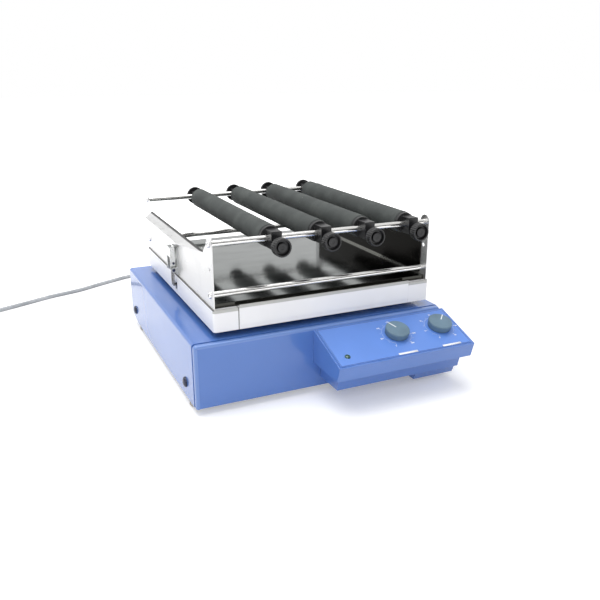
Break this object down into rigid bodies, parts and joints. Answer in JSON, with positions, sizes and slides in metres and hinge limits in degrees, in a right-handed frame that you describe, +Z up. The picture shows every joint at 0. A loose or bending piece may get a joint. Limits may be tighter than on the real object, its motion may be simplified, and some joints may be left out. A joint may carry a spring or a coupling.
{
  "type": "reciprocating shaker",
  "caption": "Bench shaker with a blue housing, sloped control box with dials and a sliding table that carries a steel holder with cushioned clamping rollers.",
  "frame": {"origin": "on the bench, under the middle of the shaker's outline without its cord", "axes": "+X to the right along the table's stroke, +Y to the back, +Z up"},
  "size_m": [0.6978, 0.7365, 0.2293],
  "materials": {
    "blue_paint": "gloss",
    "fascia_film": "satin",
    "zinc_sheet": "satin",
    "foot_rubber": "matte",
    "black_screw": "satin",
    "dial_plastic": "matte",
    "bright_steel": "polished",
    "stainless_sheet": "bright",
    "alloy": "satin",
    "lamp_lens": "gloss",
    "board": "satin",
    "black_plastic": "satin",
    "motor_paint": "satin",
    "belt_rubber": "matte",
    "table_paint": "satin",
    "roller_rubber": "matte",
    "cord_jacket": "satin"
  },
  "bodies": {
    "base": {"base_housing": "blue_paint", "front_cover": "blue_paint", "rear_panel": "blue_paint", "bottom_plate": "zinc_sheet", "feet": "foot_rubber", "case_screws": "black_screw", "control_housing": "blue_paint", "control_fascia": "fascia_film", "potentiometers": "alloy", "pilot_lamp": "lamp_lens", "control_board": "board", "power_board": "board", "switch_frame": "black_plastic", "motor": "motor_paint", "motor_bracket": "zinc_sheet", "drive_belt": "belt_rubber", "crank_bearings": "bright_steel", "bearing_bridge": "alloy", "guide_rods": "bright_steel", "guide_blocks": "alloy", "cord_relief": "black_plastic", "mains_cord": "cord_jacket", "cord_coil": "cord_jacket", "mains_plug": "black_plastic", "cord_tie": "black_plastic"},
    "table": {"shaking_table": "table_paint", "carriage": "alloy", "linear_bushes": "bright_steel", "table_posts": "bright_steel", "left_plate": "stainless_sheet", "right_plate": "stainless_sheet", "holder_pan": "stainless_sheet", "cross_rods": "bright_steel", "rod_screws": "bright_steel", "latch_bases": "bright_steel"},
    "crank": {"crank_shaft": "bright_steel", "crank_pulley": "alloy"},
    "motor_rotor": {"motor_pulley": "alloy"},
    "conrod": {"connecting_rod": "alloy"},
    "speed_dial": {"speed_knob": "dial_plastic", "speed_shaft": "bright_steel"},
    "timer_dial": {"timer_knob": "dial_plastic", "timer_shaft": "bright_steel"},
    "rocker": {"power_switch": "black_plastic"},
    "left_lever": {"left_latch_lever": "bright_steel"},
    "left_bail": {"left_latch_bail": "bright_steel"},
    "right_lever": {"right_latch_lever": "bright_steel"},
    "right_bail": {"right_latch_bail": "bright_steel"},
    "roller_1": {"roller_1_sleeve": "roller_rubber", "roller_1_core": "black_plastic"},
    "clamp_1": {"roller_1_knob": "black_plastic"},
    "roller_2": {"roller_2_sleeve": "roller_rubber", "roller_2_core": "black_plastic"},
    "clamp_2": {"roller_2_knob": "black_plastic"},
    "roller_3": {"roller_3_sleeve": "roller_rubber", "roller_3_core": "black_plastic"},
    "clamp_3": {"roller_3_knob": "black_plastic"},
    "roller_4": {"roller_4_sleeve": "roller_rubber", "roller_4_core": "black_plastic"},
    "clamp_4": {"roller_4_knob": "black_plastic"}
  },
  "joints": [
    {"name": "table_slide", "type": "slide", "parent": "base", "child": "table", "axis": [1, 0, 0], "range_m": [-0.018, 0.002]},
    {"name": "crank_spin", "type": "hinge", "parent": "base", "child": "crank", "pos_m": [-0.03974, 0.037, 0.06], "axis": [0, 0, 1], "continuous": true},
    {"name": "motor_spin", "type": "hinge", "parent": "base", "child": "motor_rotor", "pos_m": [-0.05974, -0.11, 0.03], "axis": [0, 0, 1], "continuous": true},
    {"name": "conrod_swing", "type": "hinge", "parent": "crank", "child": "conrod", "pos_m": [-0.03174, 0.043, 0.066], "axis": [0, 0, 1], "continuous": true},
    {"name": "speed_turn", "type": "hinge", "parent": "base", "child": "speed_dial", "pos_m": [0.0865, -0.18854, 0.07969], "axis": [0, -0.3237, 0.9462], "range_deg": [-177, 123]},
    {"name": "timer_turn", "type": "hinge", "parent": "base", "child": "timer_dial", "pos_m": [0.155, -0.18854, 0.07969], "axis": [0, -0.3237, 0.9462], "range_deg": [-107, 193]},
    {"name": "power_rock", "type": "hinge", "parent": "base", "child": "rocker", "pos_m": [-0.07, 0.213, 0.052], "axis": [1, 0, 0], "range_deg": [-18, 0]},
    {"name": "roller_1_slide", "type": "slide", "parent": "table", "child": "roller_1", "axis": [1, 0, 0], "range_m": [-0.06, 0.016]},
    {"name": "clamp_1_turn", "type": "hinge", "parent": "roller_1", "child": "clamp_1", "pos_m": [-0.066, -0.153, 0.208], "axis": [0, -1, 0], "range_deg": [0, 360]},
    {"name": "roller_2_slide", "type": "slide", "parent": "table", "child": "roller_2", "axis": [1, 0, 0], "range_m": [-0.016, 0.016]},
    {"name": "clamp_2_turn", "type": "hinge", "parent": "roller_2", "child": "clamp_2", "pos_m": [0.003, -0.153, 0.208], "axis": [0, -1, 0], "range_deg": [0, 360]},
    {"name": "roller_3_slide", "type": "slide", "parent": "table", "child": "roller_3", "axis": [1, 0, 0], "range_m": [-0.016, 0.016]},
    {"name": "clamp_3_turn", "type": "hinge", "parent": "roller_3", "child": "clamp_3", "pos_m": [0.067, -0.153, 0.208], "axis": [0, -1, 0], "range_deg": [0, 360]},
    {"name": "roller_4_slide", "type": "slide", "parent": "table", "child": "roller_4", "axis": [1, 0, 0], "range_m": [-0.016, 0.012]},
    {"name": "clamp_4_turn", "type": "hinge", "parent": "roller_4", "child": "clamp_4", "pos_m": [0.135, -0.153, 0.208], "axis": [0, -1, 0], "range_deg": [0, 360]},
    {"name": "left_lever_swing", "type": "hinge", "parent": "table", "child": "left_lever", "pos_m": [-0.156, 0.037, 0.142], "axis": [0, -1, 0], "range_deg": [0, 100]},
    {"name": "left_bail_swing", "type": "hinge", "parent": "left_lever", "child": "left_bail", "pos_m": [-0.155, 0.037, 0.151], "axis": [0, -1, 0], "range_deg": [-131, 0]},
    {"name": "right_lever_swing", "type": "hinge", "parent": "table", "child": "right_lever", "pos_m": [0.172, 0.037, 0.142], "axis": [0, 1, 0], "range_deg": [0, 100]},
    {"name": "right_bail_swing", "type": "hinge", "parent": "right_lever", "child": "right_bail", "pos_m": [0.171, 0.037, 0.151], "axis": [0, 1, 0], "range_deg": [-131, 0]}
  ],
  "couplings": [
    {"joint": "motor_spin", "follows": "crank_spin", "ratio": 4},
    {"joint": "conrod_swing", "follows": "crank_spin", "ratio": -1},
    {"joint": "left_bail_swing", "follows": "left_lever_swing", "ratio": -1.3},
    {"joint": "right_bail_swing", "follows": "right_lever_swing", "ratio": -1.3}
  ]
}
